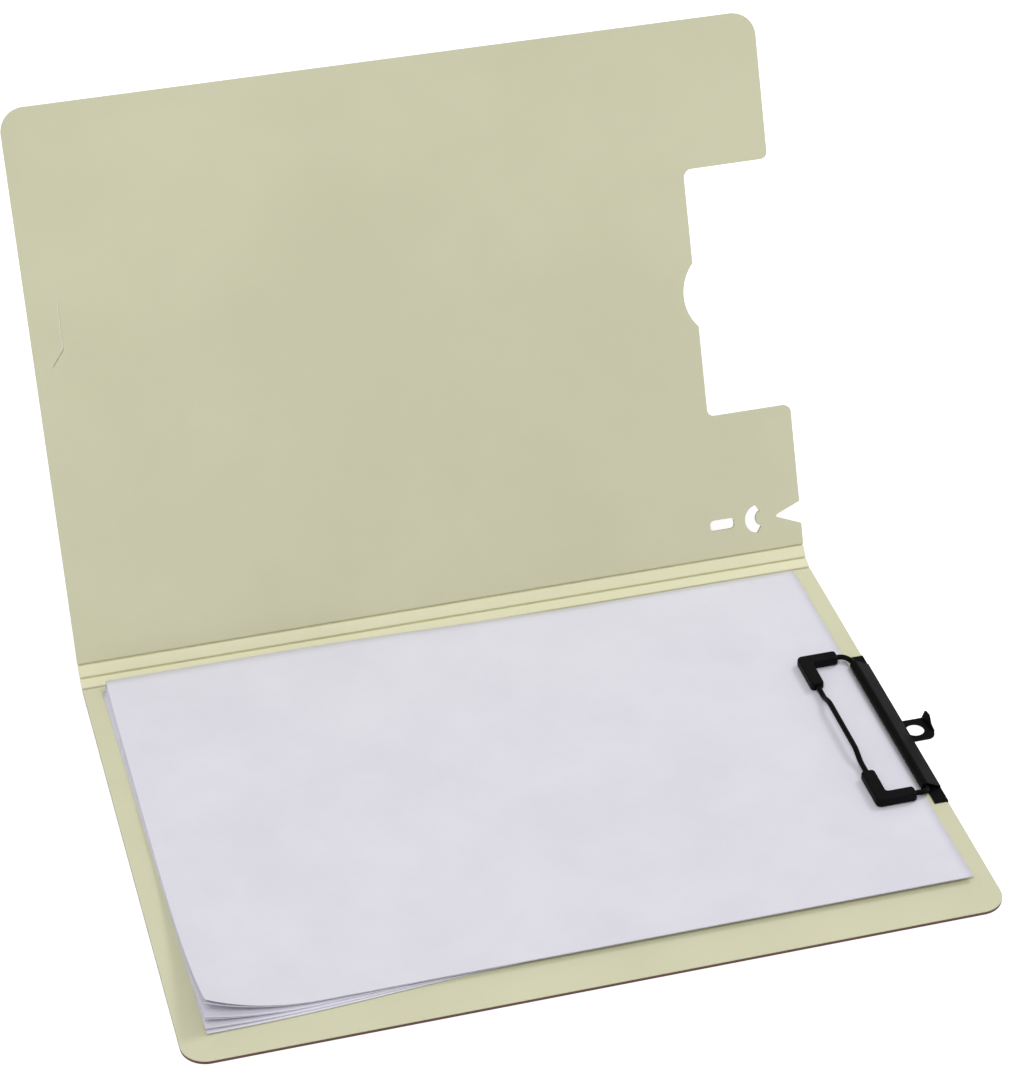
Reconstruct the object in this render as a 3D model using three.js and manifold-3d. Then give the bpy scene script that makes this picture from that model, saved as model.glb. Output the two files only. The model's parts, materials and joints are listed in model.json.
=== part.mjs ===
// A4 clip folder in foamed polypropylene board: a base that lies flat, two narrow
// spine strips and a die-cut cover, with a steel wire clip that holds the sheets.
// Millimetres, +Z up. X runs along the spine towards the clip, Y from the front
// edge to the spine, and the origin is at the middle of the base's underside.
import * as THREE from 'three';
import { mergeVertices } from 'three/addons/utils/BufferGeometryUtils.js';
import Module from 'manifold-3d';

// Boards
const boardLength = 314.6;
const baseDepth = 229;
const coverDepth = 229;
const boardThickness = 1.8;
const boardCorner = 10;
const lowerStripWidth = 5.5;
const upperStripWidth = 6;

// Pressed creases: each web is at mid thickness, under a groove on the inside
const creaseGap = 0.3;
const creaseWebHeight = 0.9;
const grooveFlank = 31;
const creaseRestAngle = 22.5;

// Clip notch in the cover, with the finger bite in the middle of it
const notchWidth = 105.6;
const notchReach = 36.8;
const notchInnerCorner = 3.5;
const notchOuterCorner = 3;
const biteRadius = 20;
const biteDepth = 5.2;

// Pen holder cut-outs, all on one line beside the spine
const penLine = 14.5;
const penNotchWidth = 9.8;
const penNotchReach = 12.4;
const penNotchApexRound = 0.9;
const crescentReach = 24.9;
const crescentOuterRadius = 6.3;
const crescentOuterSweep = 80;
const crescentInnerRadius = 3.7;
const crescentInnerSweep = 66;
const crescentThickness = 4.9;
const penSlotReach = 40.4;
const penSlotLength = 10.7;
const penSlotWidth = 4.7;
const penSlotCorner = 1.7;

// Fine die-cut slit by the cover's far side
const slitWidth = 0.25;
const slitInset = 12.6;
const slitStart = 150.6;
const slitBend = 130.7;
const slitHookInset = 7.4;
const slitHookEnd = 124.1;

// Sheets
const sheetLength = 297;
const sheetDepth = 210;
const sheetLotThickness = 0.2;
const sheetLots = 4;
const sheetSpineMargin = 1.5;
const sheetClipMargin = 8;
const sheetFan = 0.11;

// Folded steel bar, crimped into a shallow recess of the board's clip edge
const barLength = 98;
const barCentre = -1.2;
const steelThickness = 0.6;
const barTopReach = 5.6;
const barBottomReach = 6;
const barShoulder = 1.2;
const hemReach = 6.1;
const hemEndGap = 0.5;
const hollowFloor = 0.15;
const hollowWall = 0.2;
const bedClearance = 0.3;

// Hanging tab pressed out of the bar's foot: its end is splayed and turned up to a lip
const tabWidth = 13.4;
const tabCentre = -2.6;
const tabReach = 10.6;
const tabSplay = 0.9;
const tabHoleRadius = 3.8;
const tabHoleReach = 4.1;
const tabCorner = 3.4;
const tabFarCorner = 0.5;
const lipHeight = 4.1;
const lipLean = 22;
const lipCrest = 3.2;
const lipFall = 6.5;
const lipWaist = 1.9;
const lipLow = 0.9;
const lipWaistRound = 1;
const lipSeat = 0.05;

// Wire bail
const wireDiameter = 2.2;
const wireClearance = 0.3;
const wireEndGap = 2;
const bailReach = 19.8;
const bailWidth = 91.6;
const bailCentre = 0.6;
const spineHingeBend = 5;
const frontHingeBend = 3;
const hingeBendPull = 0.55;
const frontBend = 4;
const frontBendPull = 0.45;
const archLength = 46;
const archRamp = 9;
const archRise = 2.2;
const archPull = 0.4;
const rodSides = 12;
const rodStep = 1.25;

// Corner caps moulded round the wire's two front bends
const capArmWidth = 5.6;
const capHeight = 3.8;
const capFrontArm = 19.6;
const capSideArm = 16.7;
const capRound = 0.9;
const capOuterCorner = 2.2;
const capFrontCorner = 1.5;
const capInnerCorner = 1;
const capEndCorner = 1.3;
const capBoreClearance = 0.2;
const capSeat = 0.3;

const boardColour = 0xe0dcb4;
const paperColour = 0xe4e4ee;
const steelColour = 0x1c1a1e;
const capColour = 0x131215;

// Places worked out from the sizes above
const clipEdge = boardLength / 2;
const seatEdge = clipEdge - steelThickness;
const spineEdge = baseDepth / 2;
const stackThickness = sheetLotThickness * sheetLots;
const stackTop = boardThickness + stackThickness;
const boreRadius = wireDiameter / 2 + wireClearance;
const hemRadius = boreRadius + steelThickness;
const hingeX = clipEdge - hemReach;
const hingeZ = boardThickness + hemRadius;
const bailLift = stackTop + capSeat + capHeight / 2 - hingeZ;
const hemFront = bailCentre - bailWidth / 2 + frontHingeBend + hemEndGap;
const hemSpine = bailCentre + bailWidth / 2 - spineHingeBend - hemEndGap;

const wasm = await Module();
wasm.setup();

const radians = (degrees) => THREE.MathUtils.degToRad(degrees);

// Closed solid from a three.js geometry, so that it can be cut or joined.
function toSolid(geometry) {
  const bare = geometry.index ? geometry.toNonIndexed() : geometry.clone();
  bare.deleteAttribute('normal');
  bare.deleteAttribute('uv');
  const merged = mergeVertices(bare, 1e-5);
  const triangles = [];
  const corner = merged.index.array;
  for (let i = 0; i < corner.length; i += 3) {
    const [a, b, c] = [corner[i], corner[i + 1], corner[i + 2]];
    if (a !== b && b !== c && c !== a) {
      triangles.push(a, b, c);
    }
  }
  const mesh = new wasm.Mesh({
    numProp: 3,
    vertProperties: new Float32Array(merged.attributes.position.array),
    triVerts: new Uint32Array(triangles),
  });
  return new wasm.Manifold(mesh);
}

function toGeometry(solid) {
  const mesh = solid.getMesh();
  const geometry = new THREE.BufferGeometry();
  geometry.setAttribute('position', new THREE.BufferAttribute(new Float32Array(mesh.vertProperties), 3));
  geometry.setIndex(new THREE.BufferAttribute(new Uint32Array(mesh.triVerts), 1));
  geometry.computeVertexNormals();
  return geometry;
}

function cut(geometry, ...tools) {
  let solid = toSolid(geometry);
  for (const tool of tools) {
    solid = solid.subtract(toSolid(tool));
  }
  return toGeometry(solid);
}

function join(geometry, ...others) {
  let solid = toSolid(geometry);
  for (const other of others) {
    solid = solid.add(toSolid(other));
  }
  return toGeometry(solid);
}

function plate(shape, thickness, curveSegments = 12) {
  return new THREE.ExtrudeGeometry(shape, { depth: thickness, bevelEnabled: false, curveSegments });
}

function box(x0, x1, y0, y1, z0, z1) {
  const geometry = new THREE.BoxGeometry(x1 - x0, y1 - y0, z1 - z0);
  return geometry.translate((x0 + x1) / 2, (y0 + y1) / 2, (z0 + z1) / 2);
}

// Turns a profile drawn in (Y, Z) into a bar along X, centred on x = 0.
function alongX(profile, length) {
  const geometry = plate(profile, length);
  geometry.rotateY(Math.PI / 2);
  geometry.rotateX(Math.PI / 2);
  return geometry.translate(-length / 2, 0, 0);
}

// Turns a profile drawn in (X, Z) into a bar along Y, between two places on Y.
function alongY(profile, y0, y1) {
  const geometry = plate(profile, y1 - y0);
  geometry.rotateX(Math.PI / 2);
  return geometry.translate(0, y1, 0);
}

function polygon(points) {
  return new THREE.Shape(points.map(([x, y]) => new THREE.Vector2(x, y)));
}

function solidMesh(name, geometry, colour, roughness, metalness) {
  const material = new THREE.MeshStandardMaterial({ color: colour, roughness, metalness });
  const mesh = new THREE.Mesh(geometry, material);
  mesh.name = name;
  return mesh;
}

// Rounded polyline: every corner (x, y, radius) is turned by an arc.
function roundedOutline(corners) {
  const path = new THREE.Shape();
  const count = corners.length;
  corners.forEach(([x, y, radius], i) => {
    const here = new THREE.Vector2(x, y);
    const [px, py] = corners[(i + count - 1) % count];
    const [nx, ny] = corners[(i + 1) % count];
    const toPrevious = new THREE.Vector2(px, py).sub(here).normalize();
    const toNext = new THREE.Vector2(nx, ny).sub(here).normalize();
    if (radius === 0) {
      if (i === 0) {
        path.moveTo(x, y);
      } else {
        path.lineTo(x, y);
      }
      return;
    }
    const half = Math.acos(THREE.MathUtils.clamp(toPrevious.dot(toNext), -1, 1)) / 2;
    const run = radius / Math.tan(half);
    const start = here.clone().addScaledVector(toPrevious, run);
    const end = here.clone().addScaledVector(toNext, run);
    const inward = toPrevious.clone().add(toNext).normalize();
    const centre = here.clone().addScaledVector(inward, radius / Math.sin(half));
    const a0 = Math.atan2(start.y - centre.y, start.x - centre.x);
    const a1 = Math.atan2(end.y - centre.y, end.x - centre.x);
    const turn = toPrevious.x * toNext.y - toPrevious.y * toNext.x;
    if (i === 0) {
      path.moveTo(start.x, start.y);
    } else {
      path.lineTo(start.x, start.y);
    }
    path.absarc(centre.x, centre.y, radius, a0, a1, turn > 0);
  });
  path.closePath();
  return path;
}

// Wedge that chamfers a board's inner edge at y = 0. The board is on side +1 or -1 of it.
function grooveCut(length, side) {
  const over = 1;
  const slope = Math.tan(radians(grooveFlank));
  const outer = creaseGap / 2 + (boardThickness - creaseWebHeight + over) * slope;
  const profile = polygon([
    [-side * over, creaseWebHeight],
    [side * (creaseGap / 2), creaseWebHeight],
    [side * outer, boardThickness + over],
    [-side * over, boardThickness + over],
  ]);
  return alongX(profile, length + 2 * over);
}

// Bed pressed into the board's underside by the bar's foot, so that it lies flush,
// and the recess in the board's edge that takes the bar's wall.
function barBeds() {
  const over = 1;
  const front = barCentre - barLength / 2 - bedClearance;
  const back = barCentre + barLength / 2 + bedClearance;
  const footX = clipEdge - barBottomReach - bedClearance;
  return [
    box(footX, clipEdge + over, front, back, -over, steelThickness),
    box(seatEdge, clipEdge + over, front, back, -over, boardThickness + over),
  ];
}

function basePanel() {
  const half = boardLength / 2;
  const outline = roundedOutline([
    [-half, -spineEdge, boardCorner],
    [half, -spineEdge, boardCorner],
    [half, spineEdge - creaseGap / 2, 0],
    [-half, spineEdge - creaseGap / 2, 0],
  ]);
  const groove = grooveCut(boardLength, -1).translate(0, spineEdge, 0);
  return cut(plate(outline, boardThickness), groove, ...barBeds());
}

// Strip between two creases, drawn from the first crease at y = 0 to the second.
function spineStrip(width) {
  const half = creaseGap / 2;
  const blank = box(-boardLength / 2, boardLength / 2, half, width - half, 0, boardThickness);
  const near = grooveCut(boardLength, 1);
  const far = grooveCut(boardLength, -1).translate(0, width, 0);
  return cut(blank, near, far);
}

// Clip notch, from its lower side up, with the bite as an arc that bulges inward.
function notchShape() {
  const middle = coverDepth / 2;
  const back = clipEdge - notchReach;
  const low = middle - notchWidth / 2;
  const high = middle + notchWidth / 2;
  const outside = clipEdge + 2 * notchOuterCorner;
  const chordHalf = Math.sqrt(biteRadius ** 2 - (biteRadius - biteDepth) ** 2);
  const biteCentre = back - biteDepth + biteRadius;
  const biteHalfAngle = Math.asin(chordHalf / biteRadius);
  const shape = new THREE.Shape();
  shape.moveTo(outside, low);
  shape.lineTo(back + notchInnerCorner, low);
  shape.absarc(back + notchInnerCorner, low + notchInnerCorner, notchInnerCorner, -Math.PI / 2, Math.PI, true);
  shape.lineTo(back, middle - chordHalf);
  shape.absarc(biteCentre, middle, biteRadius, Math.PI + biteHalfAngle, Math.PI - biteHalfAngle, true);
  shape.lineTo(back, high - notchInnerCorner);
  shape.absarc(back + notchInnerCorner, high - notchInnerCorner, notchInnerCorner, Math.PI, Math.PI / 2, true);
  shape.lineTo(outside, high);
  shape.closePath();
  return shape;
}

// Small solid outside a convex corner's arc, which rounds that corner when it is cut off.
function cornerTrim(x, y, radius, sideX, sideY) {
  const over = 0.5;
  const shape = new THREE.Shape();
  const cx = x - sideX * radius;
  const cy = y - sideY * radius;
  shape.moveTo(cx, y + sideY * over);
  shape.lineTo(cx, y);
  const a0 = Math.atan2(sideY, 0);
  const a1 = Math.atan2(0, sideX);
  shape.absarc(cx, cy, radius, a0, a1, sideX * sideY > 0);
  shape.lineTo(x + sideX * over, cy);
  shape.lineTo(x + sideX * over, y + sideY * over);
  shape.closePath();
  return shape;
}

// Crescent that opens towards the clip side, with blunt ends between its two arcs.
function crescentShape() {
  const left = clipEdge - crescentReach;
  const outerX = left + crescentOuterRadius;
  const innerX = left + crescentThickness + crescentInnerRadius;
  const outer = radians(crescentOuterSweep);
  const inner = radians(crescentInnerSweep);
  const shape = new THREE.Shape();
  shape.absarc(outerX, penLine, crescentOuterRadius, Math.PI - outer, Math.PI + outer, false);
  shape.absarc(innerX, penLine, crescentInnerRadius, Math.PI + inner, Math.PI - inner, true);
  shape.closePath();
  return shape;
}

function penSlotShape() {
  const half = penSlotWidth / 2;
  const left = clipEdge - penSlotReach;
  const right = left + penSlotLength;
  return roundedOutline([
    [left, penLine - half, penSlotCorner],
    [right, penLine - half, penSlotCorner],
    [right, penLine + half, penSlotCorner],
    [left, penLine + half, penSlotCorner],
  ]);
}

function penNotchShape() {
  const half = penNotchWidth / 2;
  const over = 2;
  const grown = half * (1 + over / penNotchReach);
  return roundedOutline([
    [clipEdge - penNotchReach, penLine, penNotchApexRound],
    [clipEdge + over, penLine - grown, 0],
    [clipEdge + over, penLine + grown, 0],
  ]);
}

// Knife line: straight down the far side, then hooked towards the edge.
function slitShape() {
  const half = slitWidth / 2;
  const x = -clipEdge + slitInset;
  const hookX = -clipEdge + slitHookInset;
  const hook = new THREE.Vector2(hookX - x, slitHookEnd - slitBend).normalize();
  const across = new THREE.Vector2(-hook.y, hook.x).multiplyScalar(half);
  return polygon([
    [x - half, slitStart],
    [x - half, slitBend],
    [hookX - across.x, slitHookEnd - across.y],
    [hookX + across.x, slitHookEnd + across.y],
    [x + half, slitBend],
    [x + half, slitStart],
  ]);
}

// Cover drawn flat, from its crease at y = 0, with its inner face up.
function coverPanel() {
  const half = boardLength / 2;
  const middle = coverDepth / 2;
  const outline = roundedOutline([
    [-half, creaseGap / 2, 0],
    [half, creaseGap / 2, 0],
    [half, coverDepth, boardCorner],
    [-half, coverDepth, boardCorner],
  ]);
  const cutters = [
    notchShape(),
    cornerTrim(half, middle - notchWidth / 2, notchOuterCorner, 1, 1),
    cornerTrim(half, middle + notchWidth / 2, notchOuterCorner, 1, -1),
    crescentShape(),
    penSlotShape(),
    penNotchShape(),
    slitShape(),
  ];
  const through = cutters.map((shape) => plate(shape, boardThickness + 2, 16).translate(0, 0, -1));
  return cut(plate(outline, boardThickness), ...through, grooveCut(boardLength, 1));
}

// Point where the line from a shoulder touches the top of a circle.
function tangentPoint(from, centre, radius) {
  const reach = centre.clone().sub(from);
  const distance = reach.length();
  const spread = Math.asin(radius / distance);
  const direction = Math.atan2(reach.y, reach.x) - spread;
  const run = Math.sqrt(distance ** 2 - radius ** 2);
  return from.clone().add(new THREE.Vector2(Math.cos(direction), Math.sin(direction)).multiplyScalar(run));
}

// Section of the hem in (X, Z): the sheet runs up from the board's edge, curls round
// the wire and comes back along the board, which leaves a teardrop hollow.
function hemProfile() {
  const centre = new THREE.Vector2(hingeX, hingeZ);
  const shoulder = new THREE.Vector2(clipEdge, boardThickness + barShoulder);
  const touch = tangentPoint(shoulder, centre, hemRadius);
  const outward = touch.clone().sub(centre).normalize();
  const along = shoulder.clone().sub(touch).normalize();
  const startAngle = Math.atan2(outward.y, outward.x);
  const shape = new THREE.Shape();
  shape.moveTo(clipEdge, boardThickness);
  shape.lineTo(shoulder.x, shoulder.y);
  shape.lineTo(touch.x, touch.y);
  shape.absarc(centre.x, centre.y, hemRadius, startAngle, 1.5 * Math.PI, false);
  shape.closePath();

  const floor = boardThickness + steelThickness;
  const innerTouch = centre.clone().addScaledVector(outward, boreRadius);
  const tipRun = (floor + hollowFloor - innerTouch.y) / along.y;
  const tip = innerTouch.clone().addScaledVector(along, tipRun);
  tip.x = Math.min(tip.x, seatEdge - hollowWall);
  tip.y = innerTouch.y + (along.y / along.x) * (tip.x - innerTouch.x);
  const hollow = new THREE.Path();
  hollow.moveTo(tip.x, floor);
  hollow.lineTo(tip.x, tip.y);
  hollow.lineTo(innerTouch.x, innerTouch.y);
  hollow.absarc(centre.x, centre.y, boreRadius, startAngle, 1.5 * Math.PI, false);
  hollow.closePath();
  shape.holes.push(hollow);
  return shape;
}

// Channel crimped over the board's edge, full length: top flange, wall and foot.
function channelProfile() {
  const top = boardThickness + steelThickness;
  return polygon([
    [clipEdge, 0],
    [clipEdge, top],
    [clipEdge - barTopReach, top],
    [clipEdge - barTopReach, boardThickness],
    [seatEdge, boardThickness],
    [seatEdge, steelThickness],
    [clipEdge - barBottomReach, steelThickness],
    [clipEdge - barBottomReach, 0],
  ]);
}

function tabPlate() {
  const start = clipEdge - steelThickness / 2;
  const end = clipEdge + tabReach;
  const half = tabWidth / 2;
  const outline = roundedOutline([
    [start, -half, 0],
    [end + tabSplay, -half, tabCorner],
    [end - tabSplay, half, tabFarCorner],
    [start, half, 0],
  ]);
  const hole = new THREE.Path();
  hole.absarc(clipEdge + tabHoleReach, 0, tabHoleRadius, 0, 2 * Math.PI, true);
  outline.holes.push(hole);
  return plate(outline, steelThickness, 16).translate(0, tabCentre, 0);
}

// Lip turned up along the tab's splayed end: high at its far side, it falls to the near one.
function tabLip() {
  const half = tabWidth / 2;
  const outline = roundedOutline([
    [-half + tabCorner, 0, 0],
    [half, 0, 0],
    [half, lipHeight, tabFarCorner],
    [half - lipCrest, lipHeight, tabFarCorner],
    [half - lipFall, lipWaist, lipWaistRound],
    [-half + tabCorner, lipLow, 0],
  ]);
  const lip = plate(outline, steelThickness);
  lip.rotateY(Math.PI / 2);
  lip.rotateX(Math.PI / 2);
  lip.translate(-steelThickness, 0, 0);
  lip.rotateY(radians(lipLean));
  lip.rotateZ(Math.atan2(2 * tabSplay, tabWidth));
  return lip.translate(clipEdge + tabReach, tabCentre, lipSeat);
}

function clipBar() {
  const front = barCentre - barLength / 2;
  const channel = alongY(channelProfile(), front, front + barLength);
  const hem = alongY(hemProfile(), hemFront, hemSpine);
  return join(channel, hem, tabPlate(), tabLip());
}

// One side of the bail's centre line about its hinge axis, on side +1 or -1: out of the
// hem, round to the arm, round the front corner and up onto the finger arch.
function bailHalf(side, hingeBend) {
  const reach = bailWidth / 2;
  const turn = reach - hingeBend;
  const corner = reach - frontBend;
  const rampStart = archLength / 2;
  const rampEnd = rampStart - archRamp;
  const hingePull = hingeBendPull * hingeBend;
  const cornerPull = frontBendPull * frontBend;
  const rampPull = archPull * archRamp;
  const at = (x, y, z) => new THREE.Vector3(x, side * y, z);
  return [
    new THREE.LineCurve3(at(0, wireEndGap / 2, 0), at(0, turn, 0)),
    new THREE.CubicBezierCurve3(
      at(0, turn, 0),
      at(0, turn + hingePull, 0),
      at(-hingeBend + hingePull, reach, bailLift),
      at(-hingeBend, reach, bailLift),
    ),
    new THREE.LineCurve3(at(-hingeBend, reach, bailLift), at(-bailReach + frontBend, reach, bailLift)),
    new THREE.CubicBezierCurve3(
      at(-bailReach + frontBend, reach, bailLift),
      at(-bailReach + cornerPull, reach, bailLift),
      at(-bailReach, reach - cornerPull, bailLift),
      at(-bailReach, corner, bailLift),
    ),
    new THREE.LineCurve3(at(-bailReach, corner, bailLift), at(-bailReach, rampStart, bailLift)),
    new THREE.CubicBezierCurve3(
      at(-bailReach, rampStart, bailLift),
      at(-bailReach, rampStart - rampPull, bailLift),
      at(-bailReach, rampEnd + rampPull, bailLift + archRise),
      at(-bailReach, rampEnd, bailLift + archRise),
    ),
  ];
}

function turnedBack(curve) {
  if (curve.isLineCurve3) {
    return new THREE.LineCurve3(curve.v2, curve.v1);
  }
  return new THREE.CubicBezierCurve3(curve.v3, curve.v2, curve.v1, curve.v0);
}

// Whole centre line of the bail, from its spine side over the arch to its front side.
function bailPath() {
  const spineSide = bailHalf(1, spineHingeBend);
  const frontSide = bailHalf(-1, frontHingeBend);
  const path = new THREE.CurvePath();
  spineSide.forEach((curve) => path.add(curve));
  path.add(new THREE.LineCurve3(spineSide[spineSide.length - 1].v3, frontSide[frontSide.length - 1].v3));
  frontSide.reverse().forEach((curve) => path.add(turnedBack(curve)));
  return path;
}

// Round rod along the bail's centre line: the wire itself, or the bore of a cap.
function bailRod(radius) {
  const path = bailPath();
  const section = new THREE.Shape();
  section.absarc(0, 0, radius, 0, 2 * Math.PI, false);
  const points = section.getSpacedPoints(rodSides).slice(0, rodSides);
  const steps = Math.round(path.getLength() / rodStep);
  return new THREE.ExtrudeGeometry(new THREE.Shape(points), { steps, bevelEnabled: false, extrudePath: path });
}

// Corner cap on side +1 or -1: an L with rounded edges, bored for the wire inside it.
function cornerCap(side) {
  const half = capArmWidth / 2;
  const outerX = -bailReach - half;
  const innerX = -bailReach + half;
  const outerY = bailWidth / 2 + half;
  const innerY = bailWidth / 2 - half;
  const corners = [
    [outerX, outerY, capOuterCorner],
    [outerX, outerY - capFrontArm, capFrontCorner],
    [innerX, outerY - capFrontArm, capFrontCorner],
    [innerX, innerY, capInnerCorner],
    [outerX + capSideArm, innerY, capEndCorner],
    [outerX + capSideArm, outerY, capEndCorner],
  ];
  const inset = corners.map(([x, y, radius]) => [x, side * y, radius]);
  if (side < 0) {
    inset.reverse();
  }
  const blank = new THREE.ExtrudeGeometry(roundedOutline(inset), {
    depth: capHeight - 2 * capRound,
    bevelEnabled: true,
    bevelSize: capRound,
    bevelThickness: capRound,
    bevelOffset: -capRound,
    bevelSegments: 3,
    curveSegments: 7,
  });
  blank.translate(0, 0, bailLift - capHeight / 2 + capRound);
  return cut(blank, bailRod(wireDiameter / 2 + capBoreClearance));
}

// One lot of sheets, turned a little about the clip so that the far corners fan out.
function sheetLot(index) {
  const lot = box(-sheetLength, 0, -sheetDepth, 0, 0, sheetLotThickness);
  const fan = radians(sheetFan * (sheetLots - 1 - index));
  const pivotY = sheetDepth / 2;
  lot.translate(0, pivotY, 0);
  lot.rotateZ(fan);
  lot.translate(clipEdge - sheetClipMargin, spineEdge - sheetSpineMargin - pivotY, 0);
  return lot.translate(0, 0, boardThickness + sheetLotThickness * index);
}

const folder = new THREE.Group();
folder.add(solidMesh('base_panel', basePanel(), boardColour, 0.62, 0));
folder.add(solidMesh('clip_bar', clipBar(), steelColour, 0.4, 0.5));
for (let index = 0; index < sheetLots; index += 1) {
  folder.add(solidMesh(`sheet_lot_${index + 1}`, sheetLot(index), paperColour, 0.9, 0));
}

const bail = new THREE.Group();
bail.position.set(hingeX, bailCentre, hingeZ);
bail.add(solidMesh('bail_wire', bailRod(wireDiameter / 2), steelColour, 0.35, 0.6));
bail.add(solidMesh('cap_spine_side', cornerCap(1), capColour, 0.55, 0));
bail.add(solidMesh('cap_front_side', cornerCap(-1), capColour, 0.55, 0));
folder.add(bail);

// Each crease turns about the web, so its group stands at web height on the crease.
function creaseGroup(y, z) {
  const group = new THREE.Group();
  group.position.set(0, y, z);
  group.rotation.x = radians(creaseRestAngle);
  return group;
}

const lowerCrease = creaseGroup(spineEdge, creaseWebHeight);
const middleCrease = creaseGroup(lowerStripWidth, 0);
const upperCrease = creaseGroup(upperStripWidth, 0);
const lowerStrip = solidMesh('spine_strip_lower', spineStrip(lowerStripWidth), boardColour, 0.62, 0);
const upperStrip = solidMesh('spine_strip_upper', spineStrip(upperStripWidth), boardColour, 0.62, 0);
const cover = solidMesh('cover_panel', coverPanel(), boardColour, 0.62, 0);
for (const strip of [lowerStrip, upperStrip, cover]) {
  strip.position.z = -creaseWebHeight;
}
lowerCrease.add(lowerStrip, middleCrease);
middleCrease.add(upperStrip, upperCrease);
upperCrease.add(cover);
folder.add(lowerCrease);

export default folder;
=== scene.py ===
import json
import math

import bmesh
import bpy
from mathutils import Matrix, Vector


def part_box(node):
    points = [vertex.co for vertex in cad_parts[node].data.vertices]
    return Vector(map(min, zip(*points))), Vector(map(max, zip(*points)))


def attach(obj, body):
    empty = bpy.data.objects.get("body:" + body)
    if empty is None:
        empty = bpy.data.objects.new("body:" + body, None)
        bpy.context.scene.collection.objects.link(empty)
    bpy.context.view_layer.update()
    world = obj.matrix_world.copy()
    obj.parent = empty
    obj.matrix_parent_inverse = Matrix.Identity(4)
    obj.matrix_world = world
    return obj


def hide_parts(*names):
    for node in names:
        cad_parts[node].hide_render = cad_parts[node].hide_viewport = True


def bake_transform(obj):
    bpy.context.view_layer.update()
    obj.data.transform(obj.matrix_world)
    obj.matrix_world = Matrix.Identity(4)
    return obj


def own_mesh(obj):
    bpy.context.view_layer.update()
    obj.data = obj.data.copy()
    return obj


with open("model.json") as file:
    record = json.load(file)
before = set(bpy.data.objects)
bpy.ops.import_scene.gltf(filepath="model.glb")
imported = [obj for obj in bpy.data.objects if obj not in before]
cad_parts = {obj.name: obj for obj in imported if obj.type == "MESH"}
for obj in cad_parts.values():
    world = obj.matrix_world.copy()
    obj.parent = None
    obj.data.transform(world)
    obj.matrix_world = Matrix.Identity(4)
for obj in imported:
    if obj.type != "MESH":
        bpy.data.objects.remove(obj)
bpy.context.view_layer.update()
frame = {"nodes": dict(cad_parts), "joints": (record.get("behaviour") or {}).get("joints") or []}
mm = 0.001
scene = bpy.context.scene


def srgb(red, green, blue):
    # 0-255 screen values to linear
    out = []
    for value in (red, green, blue):
        c = value / 255
        out.append(c / 12.92 if c <= 0.04045 else ((c + 0.055) / 1.055) ** 2.4)
    return (*out, 1.0)


# the clip edge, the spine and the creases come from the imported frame
baseLow, baseHigh = [Vector(corner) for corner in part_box("base_panel")]
boardThickness = baseHigh.z - baseLow.z
creases = {joint["name"]: Vector(joint["pos_m"]) for joint in frame["joints"] if "crease" in joint["name"]}
restStep = math.radians(22.5)
webHeight = creases["lower_crease"].z


def restMatrix(crease, turns):
    # flat board coordinates (y from the crease, z from the underside) to the rest pose
    place = Matrix.Translation(creases[crease])
    return place @ Matrix.Rotation(restStep * turns, 4, "X") @ Matrix.Translation((0, 0, -webHeight))


flatFrames = {
    "base_panel": Matrix.Identity(4),
    "spine_strip_lower": restMatrix("lower_crease", 1),
    "spine_strip_upper": restMatrix("middle_crease", 2),
    "cover_panel": restMatrix("upper_crease", 3),
}
print("frame loaded")


def addObject(name, mesh, materials=()):
    obj = bpy.data.objects.new(name, mesh)
    scene.collection.objects.link(obj)
    for material in materials:
        obj.data.materials.append(material)
    return obj


def smoothByAngle(obj, degrees):
    for polygon in obj.data.polygons:
        polygon.use_smooth = True
    obj.data.set_sharp_from_angle(angle=math.radians(degrees))


def weightNormals(obj):
    modifier = obj.modifiers.new("weighted", "WEIGHTED_NORMAL")
    modifier.keep_sharp = True


# materials
def startMaterial(name):
    material = bpy.data.materials.new(name)
    material.use_nodes = True
    tree = material.node_tree
    shader = tree.nodes["Principled BSDF"]
    return material, tree, shader


def link(tree, output, target):
    tree.links.new(output, target)


def addNoise(tree, coordinates, scale, detail=4, rough=0.55):
    node = tree.nodes.new("ShaderNodeTexNoise")
    node.inputs["Scale"].default_value = scale
    node.inputs["Detail"].default_value = detail
    node.inputs["Roughness"].default_value = rough
    link(tree, coordinates, node.inputs["Vector"])
    return node.outputs["Fac"]


def addRange(tree, value, low, high, fromLow=0.3, fromHigh=0.7):
    node = tree.nodes.new("ShaderNodeMapRange")
    node.inputs["From Min"].default_value = fromLow
    node.inputs["From Max"].default_value = fromHigh
    node.inputs["To Min"].default_value = low
    node.inputs["To Max"].default_value = high
    link(tree, value, node.inputs["Value"])
    return node.outputs["Result"]


def mixColours(tree, factor, first, second):
    node = tree.nodes.new("ShaderNodeMix")
    node.data_type = "RGBA"
    node.inputs["A"].default_value = first
    node.inputs["B"].default_value = second
    link(tree, factor, node.inputs["Factor"])
    return node.outputs["Result"]


def addBump(tree, shader, height, strength, distance, under=None):
    node = tree.nodes.new("ShaderNodeBump")
    node.inputs["Strength"].default_value = strength
    node.inputs["Distance"].default_value = distance
    link(tree, height, node.inputs["Height"])
    if under:
        link(tree, under, node.inputs["Normal"])
    link(tree, node.outputs["Normal"], shader.inputs["Normal"])
    return node.outputs["Normal"]


def scaledCoordinates(tree, scale):
    source = tree.nodes.new("ShaderNodeTexCoord")
    mapping = tree.nodes.new("ShaderNodeMapping")
    mapping.inputs["Scale"].default_value = scale
    link(tree, source.outputs["Object"], mapping.inputs["Vector"])
    return mapping.outputs["Vector"]


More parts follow.
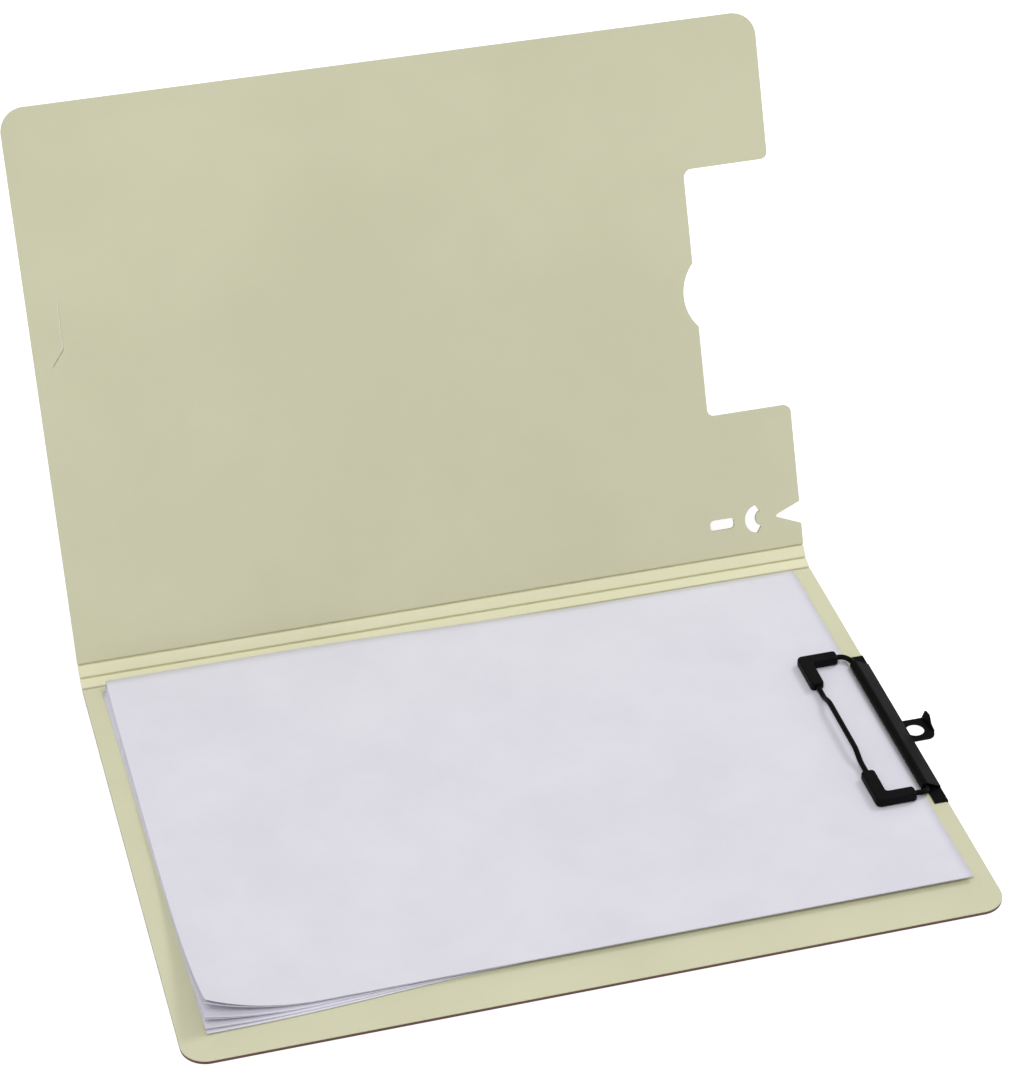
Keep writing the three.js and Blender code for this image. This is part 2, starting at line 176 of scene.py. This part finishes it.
boardLook = {
    "light": srgb(215, 214, 183),
    "deep": srgb(209, 208, 177),
    "mottleScale": 9,
    "grainScale": 1500,
    "pebbleScale": 520,
    "roughLow": 0.52,
    "roughHigh": 0.66,
}
boardSurface = {
    "toneLow": 0.35,
    "toneHigh": 0.65,
    "pebbleStrength": 0.14,
    "pebbleDepth": 0.12 * mm,
    "grainStrength": 0.12,
    "grainDepth": 0.06 * mm,
    "shine": 0.35,
}


def makeBoardMaterial(name, look):
    surface = boardSurface
    material, tree, shader = startMaterial(name)
    position = scaledCoordinates(tree, (1, 1, 1))
    mottle = addNoise(tree, position, look["mottleScale"], 5, 0.6)
    tone = addRange(tree, mottle, 0, 1, surface["toneLow"], surface["toneHigh"])
    link(tree, mixColours(tree, tone, look["light"], look["deep"]), shader.inputs["Base Color"])
    grain = addNoise(tree, position, look["grainScale"], 3, 0.6)
    pebble = addNoise(tree, position, look["pebbleScale"], 2, 0.4)
    link(tree, addRange(tree, grain, look["roughLow"], look["roughHigh"]), shader.inputs["Roughness"])
    under = addBump(tree, shader, pebble, surface["pebbleStrength"], surface["pebbleDepth"])
    addBump(tree, shader, grain, surface["grainStrength"], surface["grainDepth"], under)
    shader.inputs["Specular IOR Level"].default_value = surface["shine"]
    return material


# the pressed strips are painted paler as painted light, standing in for the extra light their tilted faces
# catch from above, and the outer skin is brown
stripPaintedLightLook = dict(boardLook, light=srgb(231, 229, 195), deep=srgb(225, 223, 189))
skinLook = {
    "light": srgb(98, 66, 56),
    "deep": srgb(91, 61, 52),
    "mottleScale": 14,
    "grainScale": 1300,
    "pebbleScale": 480,
    "roughLow": 0.45,
    "roughHigh": 0.6,
}

sheetLook = {
    "light": srgb(225, 224, 234),
    "deep": srgb(220, 219, 230),
    "cloudScale": 22,
    "fibreScale": (700, 2600, 2600),
    "fleckScale": 3400,
    "toneLow": 0.35,
    "toneHigh": 0.65,
    "roughLow": 0.82,
    "roughHigh": 0.95,
    "fibreStrength": 0.10,
    "fibreDepth": 0.05 * mm,
    "shine": 0.2,
}


def makeSheetMaterial(name, look):
    material, tree, shader = startMaterial(name)
    position = scaledCoordinates(tree, (1, 1, 1))
    cloud = addNoise(tree, position, look["cloudScale"], 6, 0.65)
    tone = addRange(tree, cloud, 0, 1, look["toneLow"], look["toneHigh"])
    link(tree, mixColours(tree, tone, look["light"], look["deep"]), shader.inputs["Base Color"])
    fibres = addNoise(tree, scaledCoordinates(tree, look["fibreScale"]), 1, 3, 0.6)
    fleck = addNoise(tree, position, look["fleckScale"], 2, 0.5)
    link(tree, addRange(tree, fleck, look["roughLow"], look["roughHigh"]), shader.inputs["Roughness"])
    addBump(tree, shader, fibres, look["fibreStrength"], look["fibreDepth"])
    shader.inputs["Specular IOR Level"].default_value = look["shine"]
    return material


steelLook = {
    "light": srgb(13, 12, 14),
    "deep": srgb(9, 8, 10),
    "peelScale": 900,
    "roughLow": 0.34,
    "roughHigh": 0.46,
    "shine": 0.05,
}
capLook = {
    "light": srgb(13, 12, 14),
    "deep": srgb(9, 8, 10),
    "peelScale": 1600,
    "roughLow": 0.5,
    "roughHigh": 0.62,
    "shine": 0.07,
}
blackSurface = {"broadScale": 60, "peelStrength": 0.12, "peelDepth": 0.04 * mm}


def makeBlackMaterial(name, look):
    material, tree, shader = startMaterial(name)
    position = scaledCoordinates(tree, (1, 1, 1))
    peel = addNoise(tree, position, look["peelScale"], 3, 0.5)
    broad = addNoise(tree, position, blackSurface["broadScale"], 4, 0.6)
    tone = addRange(tree, broad, 0, 1)
    link(tree, mixColours(tree, tone, look["light"], look["deep"]), shader.inputs["Base Color"])
    link(tree, addRange(tree, broad, look["roughLow"], look["roughHigh"]), shader.inputs["Roughness"])
    addBump(tree, shader, peel, blackSurface["peelStrength"], blackSurface["peelDepth"])
    shader.inputs["Specular IOR Level"].default_value = look["shine"]
    return material


boardInside = makeBoardMaterial("board_inside", boardLook)
# the strips' material is the board colour painted paler: painted light for the strips' tilted faces
stripPaintedLightInside = makeBoardMaterial("strip_inside_painted_light", stripPaintedLightLook)
boardSkin = makeBoardMaterial("board_skin", skinLook)
sheetWhite = makeSheetMaterial("sheet_white", sheetLook)
blackSteel = makeBlackMaterial("black_steel", steelLook)
blackCap = makeBlackMaterial("black_cap", capLook)
print("materials made")


# boards: the CAD outline with eased rims, cream inside and a brown skin outside
boardDetail = {
    "rim": 0.22 * mm,
    # the base's edge is brown over 0.74 of its thickness and the other panels over 0.2, so the base's
    # lower front edge shows a dark brown band
    "baseBrownShare": 0.74,
    "coverSkin": 0.2,
    "rimAngle": 40,
    "smoothing": 42,
    "slitAcross": (-151 * mm, -143 * mm),
    "slitAlong": (123 * mm, 152 * mm),
}


def flatCopy(node):
    source = frame["nodes"][node]
    bm = bmesh.new()
    bm.from_mesh(source.data)
    bmesh.ops.transform(bm, matrix=source.matrix_world, verts=bm.verts)
    bmesh.ops.transform(bm, matrix=flatFrames[node].inverted(), verts=bm.verts)
    bmesh.ops.remove_doubles(bm, verts=bm.verts, dist=1e-6)
    bmesh.ops.dissolve_limit(bm, angle_limit=math.radians(0.4), verts=bm.verts, edges=bm.edges)
    return bm


def bevelSharp(bm, offset, degrees, spared=(), segments=2):
    limit = math.radians(degrees)
    rims = [edge for edge in bm.edges if len(edge.link_faces) == 2 and edge.calc_face_angle(0) > limit]
    rims = [edge for edge in rims if edge not in spared]
    bmesh.ops.bevel(
        bm,
        geom=rims,
        offset=offset,
        offset_type="OFFSET",
        segments=segments,
        profile=0.5,
        affect="EDGES",
        clamp_overlap=True,
        material=-1,
    )


def slitEdges(bm):
    # the thin slit is a plain cut, so its rims stay sharp
    across, along = boardDetail["slitAcross"], boardDetail["slitAlong"]
    inside = {v for v in bm.verts if across[0] < v.co.x < across[1] and along[0] < v.co.y < along[1]}
    return {edge for edge in bm.edges if all(v in inside for v in edge.verts)}


def dressBoard(node, body, skinShare, inside):
    bm = flatCopy(node)
    spared = slitEdges(bm) if node == "cover_panel" else ()
    bevelSharp(bm, boardDetail["rim"], boardDetail["rimAngle"], spared)
    skinTop = boardThickness * skinShare
    everything = bm.verts[:] + bm.edges[:] + bm.faces[:]
    bmesh.ops.bisect_plane(bm, geom=everything, dist=1e-7, plane_co=(0, 0, skinTop), plane_no=(0, 0, 1))
    for face in bm.faces:
        face.material_index = 1 if face.calc_center_median().z < skinTop else 0
    bmesh.ops.transform(bm, matrix=flatFrames[node], verts=bm.verts)
    mesh = bpy.data.meshes.new(node + "_board")
    bm.to_mesh(mesh)
    bm.free()
    piece = addObject(node + "_board", mesh, (inside, boardSkin))
    smoothByAngle(piece, boardDetail["smoothing"])
    weightNormals(piece)
    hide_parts(node)
    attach(piece, body)
    return piece


dressBoard("base_panel", "base", boardDetail["baseBrownShare"], boardInside)
dressBoard("spine_strip_lower", "strip_lower", boardDetail["coverSkin"], stripPaintedLightInside)
dressBoard("spine_strip_upper", "strip_upper", boardDetail["coverSkin"], stripPaintedLightInside)
dressBoard("cover_panel", "cover", boardDetail["coverSkin"], boardInside)
print("boards dressed")


# webs: the thin pressed skin that bends at the bottom of each groove
webDetail = {
    "half": 0.55 * mm,
    "top": 0.08 * mm,
    "thick": 0.55 * mm,
    "steps": 10,
    "runs": 24,
    "endInset": 0.25 * mm,
    "bendHalf": 0.3 * mm,
    "smoothing": 50,
}


def makeWeb(name, crease, turns):
    detail = webDetail
    length = baseHigh.x - baseLow.x - 2 * detail["endInset"]
    matrix = Matrix.Translation(creases[crease]) @ Matrix.Rotation(restStep * turns, 4, "X")
    bm = bmesh.new()
    rings = []
    for i in range(detail["runs"] + 1):
        x = -length / 2 + length * i / detail["runs"]
        ring = []
        for k in range(detail["steps"] + 1):
            y = detail["half"] * (2 * k / detail["steps"] - 1)
            dip = detail["top"] * (y / detail["half"]) ** 2
            ring.append(bm.verts.new(matrix @ Vector((x, y, dip))))
        for k in range(detail["steps"], -1, -1):
            y = detail["half"] * (2 * k / detail["steps"] - 1)
            ring.append(bm.verts.new(matrix @ Vector((x, y, -detail["thick"]))))
        rings.append(ring)
    count = len(rings[0])
    for first, second in zip(rings, rings[1:]):
        for k in range(count):
            face = bm.faces.new((first[k], first[(k + 1) % count], second[(k + 1) % count], second[k]))
            face.material_index = 0 if k < detail["steps"] else 1
    bm.faces.new(list(reversed(rings[0])))
    bm.faces.new(rings[-1])
    bmesh.ops.recalc_face_normals(bm, faces=bm.faces)
    mesh = bpy.data.meshes.new(name)
    bm.to_mesh(mesh)
    bm.free()
    piece = addObject(name, mesh, (boardInside, boardSkin))
    smoothByAngle(piece, detail["smoothing"])
    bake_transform(piece)
    return piece


makeWeb("web_lower", "lower_crease", 0.5)
makeWeb("web_middle", "middle_crease", 1.5)
makeWeb("web_upper", "upper_crease", 2.5)
print("webs made")


# sheets: each lot is two leaves, fanned, with a lifted far corner and a lifted front edge
# lists run from the lowest lot to the top one
sheetDetail = {
    "columns": 96,
    "rows": 72,
    "leafThickness": 0.09 * mm,
    "cornerLift": [0.4 * mm, 1.6 * mm, 5.2 * mm, 11.0 * mm],
    "cornerAlong": 46 * mm,
    "cornerAcross": 104 * mm,
    "cornerPower": 2.1,
    "extraFan": [0.55, 0.42, 0.25, 0.0],
    "sideShift": [0.6 * mm, 0.45 * mm, 0.1 * mm, 0.0],
    "frontLift": [0.3 * mm, 0.42 * mm, 0.6 * mm, 1.6 * mm],
    "tuck": [4.6 * mm, 4.3 * mm, 4.0 * mm, 0.0],
    "frontDecay": 16 * mm,
    "sideLift": [0.0, 0.2 * mm, 0.6 * mm, 1.2 * mm],
    "spineLift": [0.0, 0.5 * mm, 1.3 * mm, 2.5 * mm],
    "spineDecay": 15 * mm,
    "sideDecay": 16 * mm,
    "crestRange": (0.3, 0.75),
    "tuckRange": (0.55, 0.95),
    "columnPower": 1.5,
    "rowPower": 1.4,
    "lowerLeafShare": 0.86,
    "clearance": 0.004 * mm,
    "foldKeep": 0.25,
}


def sheetFrame(node):
    # corners of the CAD lot: long edge direction, short edge direction and the clip side's spine corner
    points = {tuple(round(c, 6) for c in v.co) for v in frame["nodes"][node].data.vertices}
    top = max(p[2] for p in points)
    corners = [Vector(p) for p in points if abs(p[2] - top) < 1e-5]
    clipSpine = max(corners, key=lambda p: p.x + p.y)
    farSpine = max(corners, key=lambda p: p.y - p.x)
    clipFront = max(corners, key=lambda p: p.x - p.y)
    return clipSpine, farSpine - clipSpine, clipFront - clipSpine


def smoothStep(value, low, high):
    t = min(1.0, max(0.0, (value - low) / (high - low)))
    return t * t * (3 - 2 * t)


def liftOf(index, along, across, length, depth):
    # along: from the clip side to the far side, across: from the spine to the front
    detail = sheetDetail
    fromFar = length * (1 - along)
    fromFront = depth * (1 - across)
    fromSpine = depth * across
    corner = max(0.0, 1 - fromFar / detail["cornerAlong"] - fromFront / detail["cornerAcross"])
    lift = detail["cornerLift"][index] * corner ** detail["cornerPower"]
    side = math.exp(-fromFar / detail["sideDecay"]) * math.sin(math.pi * min(1, across))
    lift += detail["sideLift"][index] * side
    lift += detail["frontLift"][index] * math.exp(-fromFront / detail["frontDecay"])
    crest = smoothStep(along, *detail["crestRange"])
    lift += detail["spineLift"][index] * crest * math.exp(-fromSpine / detail["spineDecay"])
    # a leaf that bends up draws its corner in towards the clip
    power = detail["cornerPower"]
    drawn = (power * detail["cornerLift"][index]) ** 2 / (2 * detail["cornerAlong"] * (2 * power - 1))
    return lift, drawn * corner ** (2 * power - 1)


def makeLot(index):
    node = f"sheet_lot_{index + 1}"
    detail = sheetDetail
    clipSpine, alongEdge, acrossEdge = sheetFrame(node)
    low, high = [Vector(corner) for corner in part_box(node)]
    length, depth = alongEdge.length, acrossEdge.length
    # a fanned leaf turns about the middle of its clip edge, where the bail holds it
    turned = Matrix.Rotation(math.radians(detail["extraFan"][index]), 3, "Z")
    held = acrossEdge / 2
    bm = bmesh.new()
    for leaf in range(2):
        base = low.z + leaf * (high.z - low.z) / 2 + detail["clearance"]
        share = detail["lowerLeafShare"] + (1 - detail["lowerLeafShare"]) * leaf
        grid = []
        for row in range(detail["rows"] + 1):
            line = []
            for column in range(detail["columns"] + 1):
                along = 1 - (1 - column / detail["columns"]) ** detail["columnPower"]
                across = 1 - (1 - row / detail["rows"]) ** detail["rowPower"]
                lift, drawn = liftOf(index, along, across, length, depth)
                place = clipSpine + held + turned @ (alongEdge * along + acrossEdge * across - held)
                place += alongEdge.normalized() * (detail["sideShift"][index] - drawn)
                tucked = across * (1 - smoothStep(along, *detail["tuckRange"]))
                place -= acrossEdge.normalized() * detail["tuck"][index] * tucked
                place.z = base + lift * share
                line.append(bm.verts.new(place))
            grid.append(line)
        for row in range(detail["rows"]):
            for column in range(detail["columns"]):
                bm.faces.new((
                    grid[row][column],
                    grid[row][column + 1],
                    grid[row + 1][column + 1],
                    grid[row + 1][column],
                ))
    bmesh.ops.recalc_face_normals(bm, faces=bm.faces)
    up = sum(face.normal.z for face in bm.faces)
    if up < 0:
        bmesh.ops.reverse_faces(bm, faces=bm.faces)
    mesh = bpy.data.meshes.new(node + "_leaves")
    bm.to_mesh(mesh)
    bm.free()
    piece = addObject(node + "_leaves", mesh, (sheetWhite,))
    for polygon in piece.data.polygons:
        polygon.use_smooth = True
    solid = piece.modifiers.new("thickness", "SOLIDIFY")
    solid.thickness = detail["leafThickness"]
    solid.offset = 1
    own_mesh(piece)
    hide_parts(node)
    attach(piece, "base")
    return piece


for lot in range(4):
    makeLot(lot)
print("sheets laid")


# clip: eased steel bar, round wire and soft edged caps
clipDetail = {
    "bar": {"offset": 0.12 * mm, "degrees": 45, "smoothing": 40},
    "cap": {"offset": 0.1 * mm, "degrees": 60, "smoothing": 58},
    "wireSmoothing": 60,
}


def easeNode(node, body, material, slotName, offset, degrees, smoothing):
    source = frame["nodes"][node]
    bm = bmesh.new()
    bm.from_mesh(source.data)
    bmesh.ops.transform(bm, matrix=source.matrix_world, verts=bm.verts)
    bmesh.ops.remove_doubles(bm, verts=bm.verts, dist=1e-6)
    bmesh.ops.dissolve_limit(bm, angle_limit=math.radians(0.4), verts=bm.verts, edges=bm.edges)
    bevelSharp(bm, offset, degrees)
    mesh = bpy.data.meshes.new(node + "_piece")
    bm.to_mesh(mesh)
    bm.free()
    piece = addObject(node + "_piece", mesh, (material,))
    smoothByAngle(piece, smoothing)
    weightNormals(piece)
    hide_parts(node)
    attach(piece, body)
    return piece


easeNode("clip_bar", "base", blackSteel, "black_steel", **clipDetail["bar"])
easeNode("cap_spine_side", "bail", blackCap, "black_cap", **clipDetail["cap"])
easeNode("cap_front_side", "bail", blackCap, "black_cap", **clipDetail["cap"])
wire = frame["nodes"]["bail_wire"]
wire.data.materials.clear()
wire.data.materials.append(blackSteel)
smoothByAngle(wire, clipDetail["wireSmoothing"])
print("clip finished")


# stage: pale floor, white surround, soft lamps and the camera
stageDetail = {
    "floorSize": 6.0,
    "floorColour": srgb(236, 236, 236),
    "floorGlow": 0.55,
    "surroundLight": 0.5,
}


def makeFloor():
    bm = bmesh.new()
    bmesh.ops.create_grid(bm, x_segments=1, y_segments=1, size=stageDetail["floorSize"] / 2)
    mesh = bpy.data.meshes.new("floor")
    bm.to_mesh(mesh)
    bm.free()
    material, tree, shader = startMaterial("floor_pale")
    shader.inputs["Base Color"].default_value = stageDetail["floorColour"]
    shader.inputs["Roughness"].default_value = 0.9
    rays = tree.nodes.new("ShaderNodeLightPath")
    seen = tree.nodes.new("ShaderNodeMath")
    seen.operation = "MAXIMUM"
    link(tree, rays.outputs["Is Camera Ray"], seen.inputs[0])
    link(tree, rays.outputs["Is Glossy Ray"], seen.inputs[1])
    strength = tree.nodes.new("ShaderNodeMath")
    strength.operation = "MULTIPLY"
    strength.inputs[1].default_value = stageDetail["floorGlow"]
    link(tree, seen.outputs["Value"], strength.inputs[0])
    shader.inputs["Emission Color"].default_value = (1, 1, 1, 1)
    link(tree, strength.outputs["Value"], shader.inputs["Emission Strength"])
    floor = addObject("floor", mesh, (material,))
    floor.location.z = -0.0001


def makeSurround():
    world = bpy.data.worlds.new("surround")
    scene.world = world
    world.use_nodes = True
    tree = world.node_tree
    background = tree.nodes["Background"]
    background.inputs["Color"].default_value = (1, 1, 1, 1)
    rays = tree.nodes.new("ShaderNodeLightPath")
    seen = tree.nodes.new("ShaderNodeMath")
    seen.operation = "MAXIMUM"
    link(tree, rays.outputs["Is Camera Ray"], seen.inputs[0])
    link(tree, rays.outputs["Is Transmission Ray"], seen.inputs[1])
    level = tree.nodes.new("ShaderNodeMapRange")
    level.inputs["To Min"].default_value = stageDetail["surroundLight"]
    level.inputs["To Max"].default_value = 1.0
    link(tree, seen.outputs["Value"], level.inputs["Value"])
    link(tree, level.outputs["Result"], background.inputs["Strength"])


def makeLamp(name, place, aim, size, power):
    data = bpy.data.lights.new(name, "AREA")
    data.shape = "DISK"
    data.size = size
    data.energy = power
    lamp = bpy.data.objects.new(name, data)
    scene.collection.objects.link(lamp)
    lamp.location = place
    lamp.rotation_euler = (Vector(aim) - Vector(place)).to_track_quat("-Z", "Y").to_euler()


lampDetail = {
    "key": {"place": (1.6, 0.75, 1.9), "aim": (0, 0, 0), "size": 0.9, "power": 16},
    "top": {"place": (-0.9, -1.8, 3.2), "aim": (0, 0, 0.05), "size": 1.8, "power": 53},
}

cameraDetail = {
    "place": (-265.0 * mm, -1001.1 * mm, 846.6 * mm),
    "heading": 14.51,
    "pitch": 34.94,
    "roll": 0.86,
    "focalPixels": 3393.9,
    "photoHeight": 1080,
    "sensorHeight": 24,
}


def makeCamera():
    detail = cameraDetail
    data = bpy.data.cameras.new("camera")
    data.sensor_fit = "VERTICAL"
    data.sensor_height = detail["sensorHeight"]
    data.lens = detail["focalPixels"] / detail["photoHeight"] * detail["sensorHeight"]
    data.clip_start = 0.05
    camera = bpy.data.objects.new("camera", data)
    scene.collection.objects.link(camera)
    heading = Matrix.Rotation(-math.radians(detail["heading"]), 4, "Z")
    tilt = Matrix.Rotation(math.radians(90 - detail["pitch"]), 4, "X")
    roll = Matrix.Rotation(-math.radians(detail["roll"]), 4, "Z")
    camera.matrix_world = Matrix.Translation(detail["place"]) @ heading @ tilt @ roll
    scene.camera = camera


makeFloor()
makeSurround()
for lampName, lamp in lampDetail.items():
    makeLamp(lampName, lamp["place"], lamp["aim"], lamp["size"], lamp["power"])
makeCamera()
scene.view_settings.view_transform = "Standard"
print("stage set")
